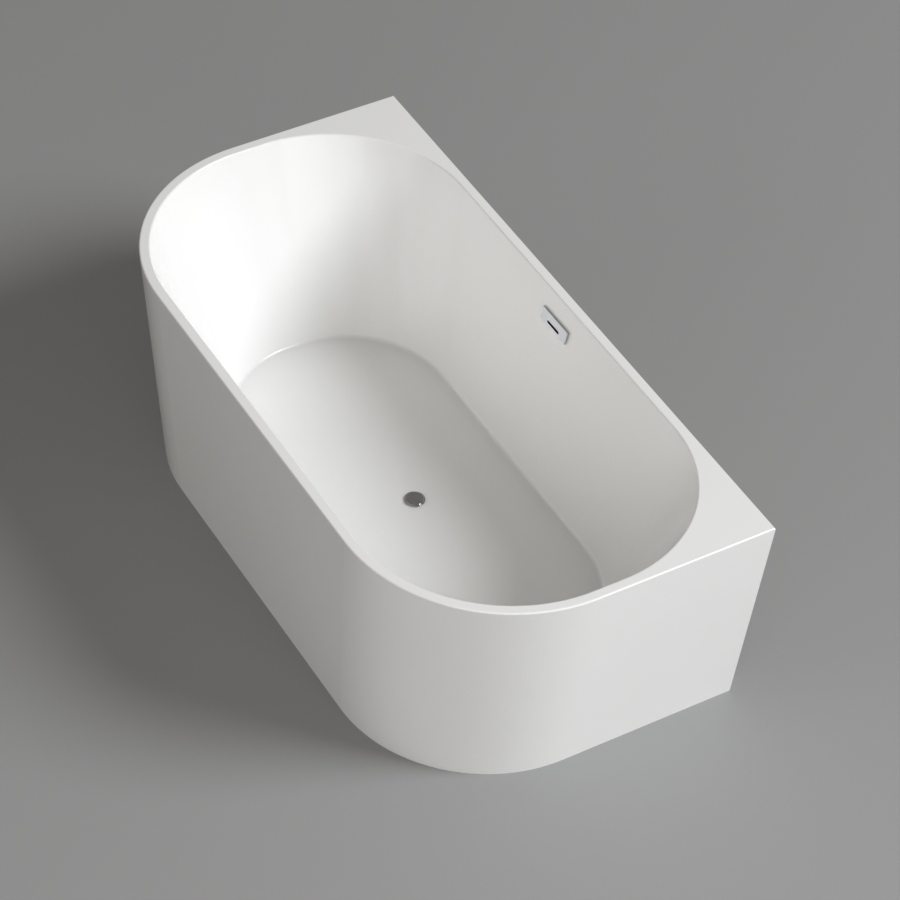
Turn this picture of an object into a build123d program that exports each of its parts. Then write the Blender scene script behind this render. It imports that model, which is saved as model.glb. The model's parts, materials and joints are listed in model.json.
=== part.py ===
from build123d import *
from math import atan2, cos, sin, sqrt
import os

# Back-to-wall bathtub. Millimetres. X runs along the bath, +Y towards the wall, +Z up.
# The origin is on the floor, under the middle of the outer body's box.

# Outer body
length = 1700.0
width = 850.0
height = 600.0
rim_corner_radius = 400.0
base_corner_radius = 370.0
end_taper = 78.0
front_taper = 30.0
skin = 5.0
laminate = 5.0
skirt_laminate = 3.0
fit = 0.3
over = 1.0  # how far a cutting shape runs past what it cuts
lip_depth = 18.0
outer_edge_radius = 3.5
service_side = 120.0
service_depth = 100.0
skirt_backing_base = 10.0

# Bowl
rim_width = 25.0
opening_back_radius = 350.0
floor_length = 1200.0
floor_width = 554.0
floor_corner_radius = 262.0
floor_shift = 17.0
floor_height = 132.0
floor_fall = 8.0
floor_border = 30.0
cove_radius = 12.0
inner_edge_radius = 4.0
corner_gap = 1.0
laminate_drop = 30.0
laminate_base = 113.0

# Boards
board_length = 1100.0
board_width = 420.0
board_thickness = 12.0
board_corner = 60.0
board_cutout_radius = 62.0
deck_board_thickness = 15.0
deck_board_reach = 210.0

# Cradle bars and feet
bar_width = 30.0
bar_height = 25.0
bar_wall = 2.0
bar_place = 420.0
bar_back_gap = 30.0
cap_thickness = 3.0
cap_plug_length = 12.0
foot_board_gap = 20.0
centre_foot_place = -190.0
centre_plate_size = 100.0
steel_plate = 4.0
rod_radius = 6.0
rod_chamfer = 1.0
rod_start = 5.0
running_gap = 0.05
nut_flats = 19.0
nut_height = 10.0
rod_above_bar = 9.0
rod_hole_radius = 10.0
pad_radius = 30.0
pad_thickness = 8.0
pad_edge_radius = 3.0
pad_boss_radius = 12.0
pad_boss_height = 16.0
spanner_flats = 17.0
spanner_height = 8.0
spanner_place = 20.0

# Struts, brackets and blocks
strut_width = 40.0
strut_start = 460.0
strut_screw_edge = 20.0
strut_screw_pitch = 50.0
tab_height = 40.0
tab_thickness = 3.0
tab_screw_height = 28.0
block_size = 60.0
block_depth = 24.0
bracket_leg = 45.0
bracket_screw_place = 27.0
bracket_screw_depth = 14.0
wall_bracket_inset = 160.0
wall_bracket_width = 50.0
wall_bracket_depth = 52.0
wall_bracket_drop = 60.0
wall_hole_radius = 4.5
wall_hole_spacing = 30.0
wall_hole_drop = 40.0
wall_screw_inset = 31.0
screw_radius = 2.5
screw_head_radius = 5.0
screw_head_height = 3.0
screw_clearance = 0.3
screw_stop = 2.0
block_screw_stop = 6.0
plate_screw_edge = 12.0

# Waste
waste_back = 5.0
waste_flat_radius = 36.0
waste_hole_radius = 20.5
flange_radius = 26.0
flange_thickness = 2.5
flange_edge_radius = 1.0
flange_recess = 1.5
throat_radius = 20.0
throat_bore = 17.5
throat_depth = 28.0
spider_height = 3.0
spider_rise = 2.0
hub_radius = 9.0
arm_width = 3.0
top_seal_radius = 24.0
top_seal_height = 1.0
lower_seal_height = 3.0
collar_radius = 37.0
collar_height = 3.0
barrel_radius = 25.0
waste_bore = 17.0
tail_radius = 20.0
tail_end = 12.0
tee_height = 93.0
tee_reach = 75.0
lid_height = 4.0
lid_under = 73.0

# Plug
plug_radius = 23.0
plug_thickness = 3.0
plug_edge_radius = 1.2
plug_recess_gap = 0.4
plug_boss_radius = 13.0
plug_boss_height = 6.0
plug_seal_height = 3.0
plug_seal_drop = 1.0
plunger_radius = 4.0
plunger_length = 24.0
plunger_seat = 3.0
cartridge_radius = 6.0
cartridge_length = 28.0
cartridge_drop = 10.0
cartridge_floor = 2.0
spring_wire = 0.7
spring_turns = 4

# Trap and outlet
cup_radius = 48.0
cup_wall = 3.0
cup_base = 3.0
cup_edge_radius = 2.5
trap_seal_height = 2.0
ring_nut_radius = 53.0
ring_nut_height = 15.0
ring_nut_lip = 2.0
ring_nut_clearance = 2.0
ring_nut_grooves = 24
groove_radius = 2.0
groove_depth = 1.2
outlet_height = 41.0
weir_height = 34.0
outlet_pipe_radius = 20.0
pipe_wall = 2.0
stub_radius = 22.0
stub_reach = 70.0
stub_stop = 53.0
outlet_nut_radius = 26.0
outlet_nut_length = 20.0
outlet_seal_length = 4.0
outlet_wall_gap = 10.0
wall_spigot_radius = 25.0
wall_spigot_length = 50.0
wall_spigot_cone = 10.0

# Overflow
overflow_drop = 68.0
plate_width = 110.0
plate_height = 33.0
plate_depth = 6.0
plate_wall = 2.0
plate_edge = 0.4
leg_thickness = 2.0
leg_height = 8.0
leg_length = 10.0
slot_width = 50.0
slot_height = 7.0
slot_drop = 6.0
overflow_hole_width = 70.0
overflow_hole_height = 20.0
overflow_flange_margin = 5.0
overflow_throat_wall = 2.0
overflow_throat_length = 21.0
throat_flange_thickness = 1.7
gasket_margin = 11.0
gasket_thickness = 3.0
box_depth = 16.0
box_wall = 2.5
overflow_pipe_radius = 12.5
spigot_wall_gap = 19.5
spigot_drop = 62.0
spigot_rise = 50.0
spigot_cap = 8.0
pipe_bend_radius = 60.0
pipe_nut_wall = 4.5
pipe_nut_length = 30.0
pipe_seal_length = 5.0

# Heights and places that follow from the sizes above
back_plane = width / 2
lip_base = height - lip_depth
deck_base = height - skin
floor_centre_y = floor_shift
service_half_width = length / 2 - service_side
wall_bracket_place = length / 2 - wall_bracket_inset
foot_spread = board_width / 2 + foot_board_gap
waste_y = floor_shift + waste_back
waste_floor = floor_height - floor_fall
board_top = laminate_base
board_base = board_top - board_thickness
bar_base = board_base - bar_height
laminate_grow = skin + fit + laminate
skirt_inside = skin + fit + skirt_laminate + fit
foot_rows = [floor_centre_y - foot_spread, floor_centre_y + foot_spread]
bar_feet = [(x, y) for x in (-bar_place, bar_place) for y in foot_rows]
centre_foot = (centre_foot_place, floor_centre_y)
foot_places = bar_feet + [centre_foot]


def plate(half_length, front, back, front_radius, back_radius=0.0):
    """A level outline with rounded front corners and, if asked for, rounded back corners."""
    shape = Pos(0, (front + back) / 2) * Rectangle(2 * half_length, back - front)
    shape = fillet(shape.vertices().sort_by(Axis.Y)[:2], front_radius)
    if back_radius:
        side = back - front - front_radius - corner_gap
        shape = fillet(shape.vertices().sort_by(Axis.Y)[-2:], min(back_radius, side))
    return shape


def body_outline(z, inset=0.0):
    """The outer body's outline at one height, moved in by an inset."""
    up = z / height
    half_length = length / 2 - end_taper * (1 - up) - inset
    front = -width / 2 + front_taper * (1 - up) + inset
    radius = base_corner_radius + (rim_corner_radius - base_corner_radius) * up - inset
    return Pos(0, 0, z) * plate(half_length, front, back_plane - inset, radius)


def body_slice(low, high, inset=0.0):
    return loft([body_outline(low, inset), body_outline(high, inset)], ruled=True)


def bowl_back(z):
    """How far the bowl's wall-side wall stands from the middle at one height."""
    down = (height - z) / (height - floor_height)
    return (back_plane - rim_width) * (1 - down) + (floor_shift + floor_width / 2) * down


def bowl_outline(z, grow=0.0):
    """The bowl's outline at one height, moved out by grow."""
    down = (height - z) / (height - floor_height)
    up = 1 - down
    half_length = (length / 2 - rim_width) * up + floor_length / 2 * down
    front = (-width / 2 + rim_width) * up + (floor_shift - floor_width / 2) * down
    front_radius = (rim_corner_radius - rim_width) * up + floor_corner_radius * down
    back_radius = opening_back_radius * up + floor_corner_radius * down
    back = bowl_back(z)
    shape = plate(half_length + grow, front - grow, back + grow, front_radius + grow, back_radius + grow)
    return Pos(0, 0, z) * shape


def bowl_space(grow, top):
    """The bowl's hollow, moved out by grow; its floor falls to the waste."""
    foot = floor_height - grow
    walls = loft([bowl_outline(foot, grow), bowl_outline(top, grow)], ruled=True)
    walls = fillet(walls.edges().group_by(Axis.Z)[0], cove_radius + grow)
    half = floor_length / 2 - floor_border
    reach = floor_width / 2 - floor_border
    radius = floor_corner_radius - floor_border
    high = Pos(0, 0, foot) * plate(half, floor_shift - reach, floor_shift + reach, radius, radius)
    flat = waste_flat_radius
    low = Pos(0, 0, foot - floor_fall) * plate(flat, waste_y - flat, waste_y + flat, flat - 1, flat - 1)
    return walls + loft([low, high], ruled=True)


def upright(radius, low, high, x=0.0, y=0.0):
    """A round bar standing between two heights."""
    return Pos(x, y, low) * Cylinder(radius, high - low, align=(Align.CENTER, Align.CENTER, Align.MIN))


def along_y(radius, start, end, x, z):
    """A round bar lying towards the wall."""
    bar = Cylinder(radius, end - start, align=(Align.CENTER, Align.CENTER, Align.MIN))
    return Pos(x, start, z) * Rot(-90, 0, 0) * bar


def block(x, y, z):
    """A box between two X, two Y and two Z places."""
    size = Box(x[1] - x[0], y[1] - y[0], z[1] - z[0], align=(Align.MIN, Align.MIN, Align.MIN))
    return Pos(x[0], y[0], z[0]) * size


def hex_nut(flats, low, high, x, y, bore):
    """A nut with chamfered corners at both ends."""
    corner = flats / sqrt(3)
    nut = Pos(x, y, low) * extrude(RegularPolygon(corner, 6), high - low)
    blank = upright(corner, low, high, x, y)
    blank = chamfer(blank.edges().filter_by(GeomType.CIRCLE), corner - flats / 2)
    return (nut & blank) - upright(bore, low - over, high + over, x, y)


def screw(start, direction, depth, grow=0.0):
    """A screw whose head's underside is at start and whose shank runs along direction."""
    place = Plane(origin=start, z_dir=direction)
    low = (Align.CENTER, Align.CENTER, Align.MIN)
    shank = Cylinder(screw_radius + grow, depth + grow, align=low)
    if grow:
        return place * shank
    head = Pos(0, 0, -screw_head_height) * Cylinder(screw_head_radius, screw_head_height, align=low)
    return place * (head + shank)


def cut_for(shape, screws):
    """Takes each screw's clearance hole out of a piece."""
    for start, direction, depth in screws:
        shape -= screw(start, direction, depth, screw_clearance)
    return shape


# Middle of the overflow on the bowl's wall-side wall; Z points into the bowl, Y up the wall
wall_lean = atan2(bowl_back(height) - bowl_back(floor_height), height - floor_height)
overflow_z = height - overflow_drop
spigot_end = overflow_z - spigot_drop
overflow_place = Plane(
    origin=(0, bowl_back(overflow_z), overflow_z),
    x_dir=(1, 0, 0),
    z_dir=(0, -cos(wall_lean), sin(wall_lean)),
)


def on_wall(sketch, low, high):
    """A level-backed piece on the overflow's plane, between two distances into the bowl."""
    return overflow_place * Pos(0, 0, low) * extrude(sketch, high - low)


def overflow_hole(spare, depth):
    outline = SlotOverall(overflow_hole_width + 2 * spare, overflow_hole_height + 2 * spare)
    return on_wall(outline, -depth, depth)


# Where each screw goes
bar_screw_rows = [floor_centre_y - board_width / 3, floor_centre_y, floor_centre_y + board_width / 3]
board_bite = board_thickness - screw_stop
plate_screw_spread = centre_plate_size / 2 - plate_screw_edge


def screws_under_board():
    up = (0, 0, 1)
    screws = []
    for x in (-bar_place, bar_place):
        for y in bar_screw_rows:
            screws.append(((x, y, bar_base), up, bar_height + board_bite))
    for dx in (-plate_screw_spread, plate_screw_spread):
        for dy in (-plate_screw_spread, plate_screw_spread):
            place = (centre_foot[0] + dx, centre_foot[1] + dy, board_base - steel_plate)
            screws.append((place, up, steel_plate + board_bite))
    for side in (-1, 1):
        for step in (0, 1):
            x = side * (strut_start + strut_screw_edge + step * strut_screw_pitch)
            screws.append(((x, floor_centre_y, board_base - steel_plate), up, steel_plate + board_bite))
    return screws


def skirt_face_x(z):
    """The skirt's lined inside at its ends, at one height."""
    return length / 2 - end_taper * (1 - z / height) - skirt_inside


def skirt_face_y(z):
    """The skirt's lined inside at the front, at one height."""
    return -width / 2 + front_taper * (1 - z / height) + skirt_inside


front_block_base = bar_base - tab_thickness
front_block_face = skirt_face_y(front_block_base + tab_height) + block_depth
end_block_base = board_base - steel_plate
end_block_face = skirt_face_x(end_block_base) - block_depth
block_screw_depth = block_depth - block_screw_stop + tab_thickness


def screws_into_blocks():
    screws = []
    for x in (-bar_place, bar_place):
        for dx in (-block_size / 4, block_size / 4):
            start = (x + dx, front_block_face + tab_thickness, front_block_base + tab_screw_height)
            screws.append((start, (0, -1, 0), block_screw_depth))
    for side in (-1, 1):
        x = side * (end_block_face - tab_thickness)
        for dy in (-strut_width / 4, strut_width / 4):
            start = (x, floor_centre_y + dy, end_block_base + tab_screw_height)
            screws.append((start, (side, 0, 0), block_screw_depth))
    return screws


def screws_into_deck():
    screws = []
    low = deck_base - deck_board_thickness - tab_thickness
    for side in (-1, 1):
        for dx in (-wall_hole_spacing / 2, wall_hole_spacing / 2):
            start = (side * wall_bracket_place + dx, back_plane - wall_screw_inset, low)
            screws.append((start, (0, 0, 1), tab_thickness + deck_board_thickness - screw_stop))
    return screws


def screw_group(screws):
    return [screw(*place) for place in screws]


def basin_shell():
    """Bowl, deck and the lip that turns down over the skirt."""
    deck = body_slice(deck_base, height)
    lip = body_slice(lip_base, deck_base) - body_slice(lip_base - over, deck_base, skin)
    bowl = bowl_space(skin, height - skin / 2) - overflow_hole(0.0, 2 * laminate_grow)
    shell = deck + lip + bowl - bowl_space(0.0, height + skin)
    top = shell.faces().filter_by(Axis.Z).sort_by(Axis.Z)[-1]
    shell = fillet(top.outer_wire().edges(), outer_edge_radius)
    top = shell.faces().filter_by(Axis.Z).sort_by(Axis.Z)[-1]
    shell = fillet(top.inner_wires()[0].edges(), inner_edge_radius)
    return shell - upright(waste_hole_radius, 0, height, 0, waste_y)


def basin_backing():
    """Glass-fibre laminate under the bowl, thickened to a level foot that the board is bonded to."""
    top = height - laminate_drop
    grow = laminate_grow
    body = loft([bowl_outline(laminate_base, grow), bowl_outline(top, grow)], ruled=True)
    body -= bowl_space(skin + fit, height)
    body -= upright(waste_hole_radius + fit, 0, height, 0, waste_y)
    return body - overflow_hole(fit, 2 * laminate_grow)


def service_gap(low, high):
    """The open back of the skirt, where the pipes reach the wall."""
    across = (-service_half_width, service_half_width)
    return block(across, (back_plane - service_depth, back_plane + over), (low, high))


def outer_skirt():
    """Apron round the front and ends, with a rebated top edge that goes up behind the basin's lip."""
    wall = body_slice(0, lip_base) - body_slice(-over, lip_base + over, skin)
    rebate = lip_base - skin
    tongue_top = deck_base - fit
    inner = body_slice(rebate - over, tongue_top + over, 2 * skin + fit)
    shelf = body_slice(rebate, lip_base) - inner
    tongue = body_slice(rebate, tongue_top, skin + fit) - inner
    return wall + shelf + tongue - service_gap(-over, height)


def skirt_backing():
    """Laminate on the skirt's inside, short of the floor and of the rebate."""
    low = skirt_backing_base
    high = lip_base - skin - fit
    inset = skin + fit
    liner = body_slice(low, high, inset) - body_slice(low - over, high + over, inset + skirt_laminate)
    return liner - service_gap(0, height)


def base_board():
    """Board under the floor, cut out for the waste, the overflow pipe and the centre rod."""
    outline = Pos(0, floor_centre_y) * RectangleRounded(board_length, board_width, board_corner)
    board = Pos(0, 0, board_base) * extrude(outline, board_thickness)
    board -= upright(board_cutout_radius, 0, height, 0, waste_y)
    slot = board_cutout_radius / 2
    board -= block((-slot, slot), (waste_y, back_plane), (0, height))
    board -= upright(rod_hole_radius, 0, height, *centre_foot)
    return cut_for(board, screws_under_board())


def deck_board(side):
    """Board glued under a corner deck."""
    low = deck_base - deck_board_thickness
    inset = 2 * skin + 2 * fit
    x = sorted((side * (length / 2 - deck_board_reach), side * length / 2))
    board = body_slice(low, deck_base, inset) & block(x, (0, back_plane), (low, deck_base))
    grow = laminate_grow + fit
    board -= loft([bowl_outline(low - over, grow), bowl_outline(height, grow)], ruled=True)
    board = board.solids().sort_by(SortBy.VOLUME)[-1]
    return cut_for(board, screws_into_deck())


bar_start = front_block_face + tab_thickness + screw_head_height + fit
bar_end = back_plane - bar_back_gap


def cradle_bar(side):
    """Hollow steel bar across the bath, under the board."""
    x = side * bar_place
    outer = block((x - bar_width / 2, x + bar_width / 2), (bar_start, bar_end), (bar_base, board_base))
    half = bar_width / 2 - bar_wall
    z = (bar_base + bar_wall, board_base - bar_wall)
    bar = outer - block((x - half, x + half), (bar_start - over, bar_end + over), z)
    for y in foot_rows:
        bar -= upright(rod_radius + fit, bar_base - over, board_base + over, x, y)
    return cut_for(bar, screws_under_board() + [bracket_screw(side)])


def bracket_screw(side):
    """The screw up through the skirt bracket into a bar."""
    place = (side * bar_place, front_block_face + bracket_screw_place, bar_base - tab_thickness)
    return (place, (0, 0, 1), bracket_screw_depth)


def cradle_end_caps():
    """Plastic plugs in the bars' wall-side ends."""
    caps = []
    half = bar_width / 2
    inside = bar_wall + fit
    z = (bar_base + inside, board_base - inside)
    for x in (-bar_place, bar_place):
        head = block((x - half, x + half), (bar_end, bar_end + cap_thickness), (bar_base, board_base))
        x_inside = (x - half + inside, x + half - inside)
        caps.append(head + block(x_inside, (bar_end - cap_plug_length, bar_end), z))
    return caps


def end_strut(side):
    """Flat bar from the board to the block on the skirt's end, with its tip bent up."""
    inner = strut_start
    outer = end_block_face
    half = strut_width / 2
    y = (floor_centre_y - half, floor_centre_y + half)
    flat = block(sorted((side * inner, side * outer)), y, (board_base - steel_plate, board_base))
    tab_x = sorted((side * (outer - tab_thickness), side * outer))
    tab = block(tab_x, y, (end_block_base, end_block_base + tab_height))
    return cut_for(flat + tab, screws_under_board() + screws_into_blocks())


def skirt_brackets():
    """Angles between the bars' front ends and the blocks on the skirt."""
    brackets = []
    for side in (-1, 1):
        x = (side * bar_place - block_size / 2, side * bar_place + block_size / 2)
        face = front_block_face
        foot = block(x, (face, face + bracket_leg), (front_block_base, front_block_base + tab_thickness))
        leg = block(x, (face, face + tab_thickness), (front_block_base, front_block_base + tab_height))
        brackets.append(cut_for(foot + leg, screws_into_blocks() + [bracket_screw(side)]))
    return brackets


def skirt_blocks():
    """Blocks bonded to the skirt's inside, shaped to its lean."""
    inside = body_slice(0, lip_base, skirt_inside)
    blocks = []
    for x in (-bar_place, bar_place):
        z = (front_block_base, front_block_base + tab_height)
        piece = block((x - block_size / 2, x + block_size / 2), (-width / 2, front_block_face), z)
        blocks.append(cut_for(inside & piece, screws_into_blocks()))
    for side in (-1, 1):
        x = sorted((side * end_block_face, side * length / 2))
        y = (floor_centre_y - block_size / 2, floor_centre_y + block_size / 2)
        piece = block(x, y, (end_block_base, end_block_base + tab_height))
        blocks.append(cut_for(inside & piece, screws_into_blocks()))
    return blocks


def centre_foot_plate():
    x, y = centre_foot
    half = centre_plate_size / 2
    piece = block((x - half, x + half), (y - half, y + half), (board_base - steel_plate, board_base))
    piece -= upright(rod_radius + fit, 0, height, x, y)
    return cut_for(piece, screws_under_board())


def wall_bracket(side):
    """Angle under a corner deck; its upright leg lies against the wall and has two screw holes."""
    x = side * wall_bracket_place
    half = wall_bracket_width / 2
    high = deck_base - deck_board_thickness
    span = (x - half, x + half)
    flat = block(span, (back_plane - wall_bracket_depth, back_plane), (high - tab_thickness, high))
    leg = block(span, (back_plane - tab_thickness, back_plane), (high - wall_bracket_drop, high))
    bracket = flat + leg
    hole_z = high - wall_hole_drop
    for hole_x in (x - wall_hole_spacing / 2, x + wall_hole_spacing / 2):
        start = back_plane - 2 * tab_thickness
        bracket -= along_y(wall_hole_radius, start, back_plane + over, hole_x, hole_z)
    return cut_for(bracket, screws_into_deck())


def nuts_below(bar_high, plate_high):
    """A nut on each rod: four under the bars and one under the centre plate."""
    bore = rod_radius + running_gap
    nuts = [hex_nut(nut_flats, bar_high - nut_height, bar_high, x, y, bore) for x, y in bar_feet]
    nuts.append(hex_nut(nut_flats, plate_high - nut_height, plate_high, *centre_foot, bore))
    return nuts


def foot_weld_nuts():
    """Nuts welded under the bars and the centre plate, which the rods turn in."""
    return nuts_below(bar_base, board_base - steel_plate)


def foot_lock_nuts():
    """Nuts that lock each rod from below."""
    return nuts_below(bar_base - nut_height, board_base - steel_plate - nut_height)


def foot_rod(place):
    """Threaded rod with a hexagon for the spanner; its end turns in the pad."""
    x, y = place
    rod = upright(rod_radius, rod_start, board_base + rod_above_bar, x, y)
    rod = chamfer(rod.edges().group_by(Axis.Z)[-1], rod_chamfer)
    spanner_top = spanner_place + spanner_height
    return rod + hex_nut(spanner_flats, spanner_place, spanner_top, x, y, rod_radius / 2)


def foot_pad(place):
    """Round plastic pad with a socket for the rod."""
    x, y = place
    disc = upright(pad_radius, 0, pad_thickness, x, y)
    disc = fillet(disc.edges().group_by(Axis.Z)[-1], pad_edge_radius)
    pad = disc + upright(pad_boss_radius, pad_thickness / 2, pad_boss_height, x, y)
    return pad - upright(rod_radius + running_gap, rod_start - running_gap, pad_boss_height + over, x, y)


flange_base = waste_floor + top_seal_height
flange_top = flange_base + flange_thickness
plug_base = flange_top - flange_recess + fit
collar_top = laminate_base - lower_seal_height
collar_base = collar_top - collar_height
throat_end = flange_base - throat_depth
spider_base = throat_end + spider_rise
cartridge_base = spider_base - cartridge_drop


def waste_flange():
    """Chrome ring with a threaded throat and a three-armed spider that holds the push mechanism."""
    ring = upright(flange_radius, flange_base, flange_top, 0, waste_y)
    ring = fillet(ring.edges().group_by(Axis.Z)[-1], flange_edge_radius)
    body = ring + upright(throat_radius, throat_end, flange_base, 0, waste_y)
    body -= upright(throat_bore, throat_end - over, flange_top + over, 0, waste_y)
    recess_base = flange_top - flange_recess
    body -= upright(plug_radius + plug_recess_gap, recess_base, flange_top + over, 0, waste_y)
    spider_z = (spider_base, spider_base + spider_height)
    spider = upright(hub_radius, *spider_z, 0, waste_y)
    arm_length = throat_bore + (throat_radius - throat_bore) / 2
    arm = block((0, arm_length), (-arm_width / 2, arm_width / 2), spider_z)
    for turn in (90, 210, 330):
        spider += Pos(0, waste_y, 0) * Rot(0, 0, turn) * arm
    body += spider
    return body - upright(cartridge_radius + running_gap, throat_end - over, flange_base, 0, waste_y)


def waste_ring(outer, inner, low, high):
    return upright(outer, low, high, 0, waste_y) - upright(inner, low - over, high + over, 0, waste_y)


def waste_top_seal():
    return waste_ring(top_seal_radius, throat_radius + running_gap, waste_floor, flange_base)


def waste_lower_seal():
    return waste_ring(collar_radius, throat_radius + running_gap, collar_top, laminate_base)


def waste_body():
    """Plastic body below the floor: collar, barrel, trap lid, tail into the water, overflow tee."""
    body = upright(collar_radius, collar_base, collar_top, 0, waste_y)
    body += upright(barrel_radius, lid_under, collar_top, 0, waste_y)
    body += upright(cup_radius, lid_under, lid_under + lid_height, 0, waste_y)
    body += upright(tail_radius, tail_end, lid_under + lid_height, 0, waste_y)
    body += along_y(overflow_pipe_radius, waste_y, waste_y + tee_reach, 0, tee_height)
    body -= upright(throat_radius + running_gap, throat_end - fit, collar_top + over, 0, waste_y)
    body -= upright(waste_bore, tail_end - over, collar_top, 0, waste_y)
    bore = overflow_pipe_radius - pipe_wall
    return body - along_y(bore, waste_y, waste_y + tee_reach + over, 0, tee_height)


def click_cartridge():
    top = cartridge_base + cartridge_length
    body = upright(cartridge_radius, cartridge_base, top, 0, waste_y)
    low = cartridge_base + cartridge_floor
    return body - upright(plunger_radius + running_gap, low, top + over, 0, waste_y)


plunger_top = plug_base - plug_boss_height + plunger_seat
plunger_base = plunger_top - plunger_length


def plug_spring():
    """Coil spring under the plunger."""
    low = cartridge_base + cartridge_floor + fit
    rise = plunger_base - fit - low - spring_wire
    radius = plunger_radius - spring_wire / 2 - fit
    path = Helix(pitch=rise / spring_turns, height=rise, radius=radius)
    section = Plane(origin=path @ 0, z_dir=path % 0) * Circle(spring_wire / 2)
    return Pos(0, waste_y, low + spring_wire / 2) * sweep(section, path=path)


def plug_cap():
    """Round chrome plug with the boss that its seal and plunger sit in."""
    cap = upright(plug_radius, plug_base, plug_base + plug_thickness, 0, waste_y)
    cap = fillet(cap.edges().group_by(Axis.Z)[-1], plug_edge_radius)
    boss_base = plug_base - plug_boss_height
    cap += upright(plug_boss_radius, boss_base, plug_base, 0, waste_y)
    return cap - upright(plunger_radius + running_gap, boss_base - over, plunger_top, 0, waste_y)


def plug_seal():
    high = plug_base - plug_seal_drop
    return waste_ring(throat_bore - fit, plug_boss_radius + running_gap, high - plug_seal_height, high)


def plug_plunger():
    return upright(plunger_radius, plunger_base, plunger_top, 0, waste_y)


cup_top = lid_under - trap_seal_height


def trap_cup():
    """Cup that holds the water; its outlet opens over a weir into the stub for the pipe."""
    cup = upright(cup_radius, cup_base, cup_top, 0, waste_y)
    cup = fillet(cup.edges().group_by(Axis.Z)[0], cup_edge_radius)
    stub_end = waste_y + stub_reach
    cup += along_y(stub_radius, waste_y, stub_end, 0, outlet_height)
    cup -= upright(cup_radius - cup_wall, cup_base + cup_wall, cup_top + over, 0, waste_y)
    socket = outlet_pipe_radius + running_gap
    cup -= along_y(socket, waste_y + stub_stop, stub_end + over, 0, outlet_height)
    hole_radius = outlet_pipe_radius - pipe_wall
    hole = along_y(hole_radius, waste_y, waste_y + stub_stop + over, 0, outlet_height)
    over_weir = block((-cup_radius, cup_radius), (waste_y, stub_end), (weir_height, cup_top))
    return cup - (hole & over_weir)


def trap_seal():
    return waste_ring(cup_radius, cup_radius - cup_wall, cup_top, lid_under)


def trap_ring_nut():
    """Ribbed ring nut that draws the lid onto the cup."""
    lid_top = lid_under + lid_height
    high = lid_top + ring_nut_lip
    nut = waste_ring(ring_nut_radius, cup_radius + fit, high - ring_nut_height, high)
    nut += waste_ring(cup_radius + over, barrel_radius + ring_nut_clearance, lid_top, high)
    place = ring_nut_radius + groove_radius - groove_depth
    groove = upright(groove_radius, high - ring_nut_height - over, high + over, place)
    for count in range(ring_nut_grooves):
        nut -= Pos(0, waste_y, 0) * Rot(0, 0, 360 / ring_nut_grooves * count) * groove
    return nut


stub_mouth = waste_y + stub_reach


def outlet_nut():
    """Nut over the stub, with a lip that presses the seal onto the pipe."""
    start = stub_mouth - outlet_nut_length / 2
    end = stub_mouth + outlet_nut_length / 2
    nut = along_y(outlet_nut_radius, start, end, 0, outlet_height)
    nut -= along_y(stub_radius + fit, start - over, stub_mouth + outlet_seal_length, 0, outlet_height)
    return nut - along_y(outlet_pipe_radius + fit, start, end + over, 0, outlet_height)


def outlet_seal():
    end = stub_mouth + outlet_seal_length
    bore = outlet_pipe_radius + running_gap
    ring = along_y(stub_radius, stub_mouth, end, 0, outlet_height)
    return ring - along_y(bore, stub_mouth - over, end + over, 0, outlet_height)


def outlet_pipe():
    """Pipe from the trap to the wall, widened to a spigot that plugs into the socket there."""
    start = waste_y + stub_stop
    end = back_plane - outlet_wall_gap
    pipe = pipe_form(start, end, 0.0)
    return pipe - pipe_form(start - over, end + over, pipe_wall)


def pipe_form(start, end, wall):
    """The outlet pipe's round form with its wider end, less a wall all round."""
    spigot_start = back_plane - outlet_wall_gap - wall_spigot_length
    cone_start = spigot_start - wall_spigot_cone
    narrow = along_y(outlet_pipe_radius - wall, start, cone_start, 0, outlet_height)
    wide = along_y(wall_spigot_radius - wall, spigot_start, end, 0, outlet_height)
    place = Pos(0, cone_start, outlet_height) * Rot(-90, 0, 0)
    low = (Align.CENTER, Align.CENTER, Align.MIN)
    cone = Cone(outlet_pipe_radius - wall, wall_spigot_radius - wall, wall_spigot_cone, align=low)
    return narrow + place * cone + wide


def overflow_plate():
    """Slim chrome cover: a shallow open-backed box, one slot, and two legs that grip the throat."""
    cover = on_wall(Rectangle(plate_width, plate_height), fit, plate_depth)
    front = cover.faces().sort_by(Axis((0, 0, 0), overflow_place.z_dir))[-1]
    cover = chamfer(front.edges(), plate_edge)
    pocket = Rectangle(plate_width - 2 * plate_wall, plate_height - 2 * plate_wall)
    cover -= on_wall(pocket, 0, plate_depth - plate_wall)
    cover -= on_wall(Pos(0, -slot_drop) * SlotOverall(slot_width, slot_height), 0, plate_depth + over)
    leg = Rectangle(leg_thickness, leg_height)
    for side in (-1, 1):
        cover += on_wall(Pos(side * leg_place(), 0) * leg, -leg_length, plate_depth - plate_wall / 2)
    return cover


def leg_place():
    """Where a leg lies against the throat's rounded end."""
    round_radius = overflow_hole_height / 2 - fit - overflow_throat_wall
    round_centre = (overflow_hole_width - overflow_hole_height) / 2
    across = sqrt(round_radius**2 - (leg_height / 2) ** 2)
    return round_centre + across - fit - leg_thickness / 2


seat_back = laminate_grow * cos(wall_lean) + fit
gasket_back = seat_back + gasket_thickness


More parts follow.
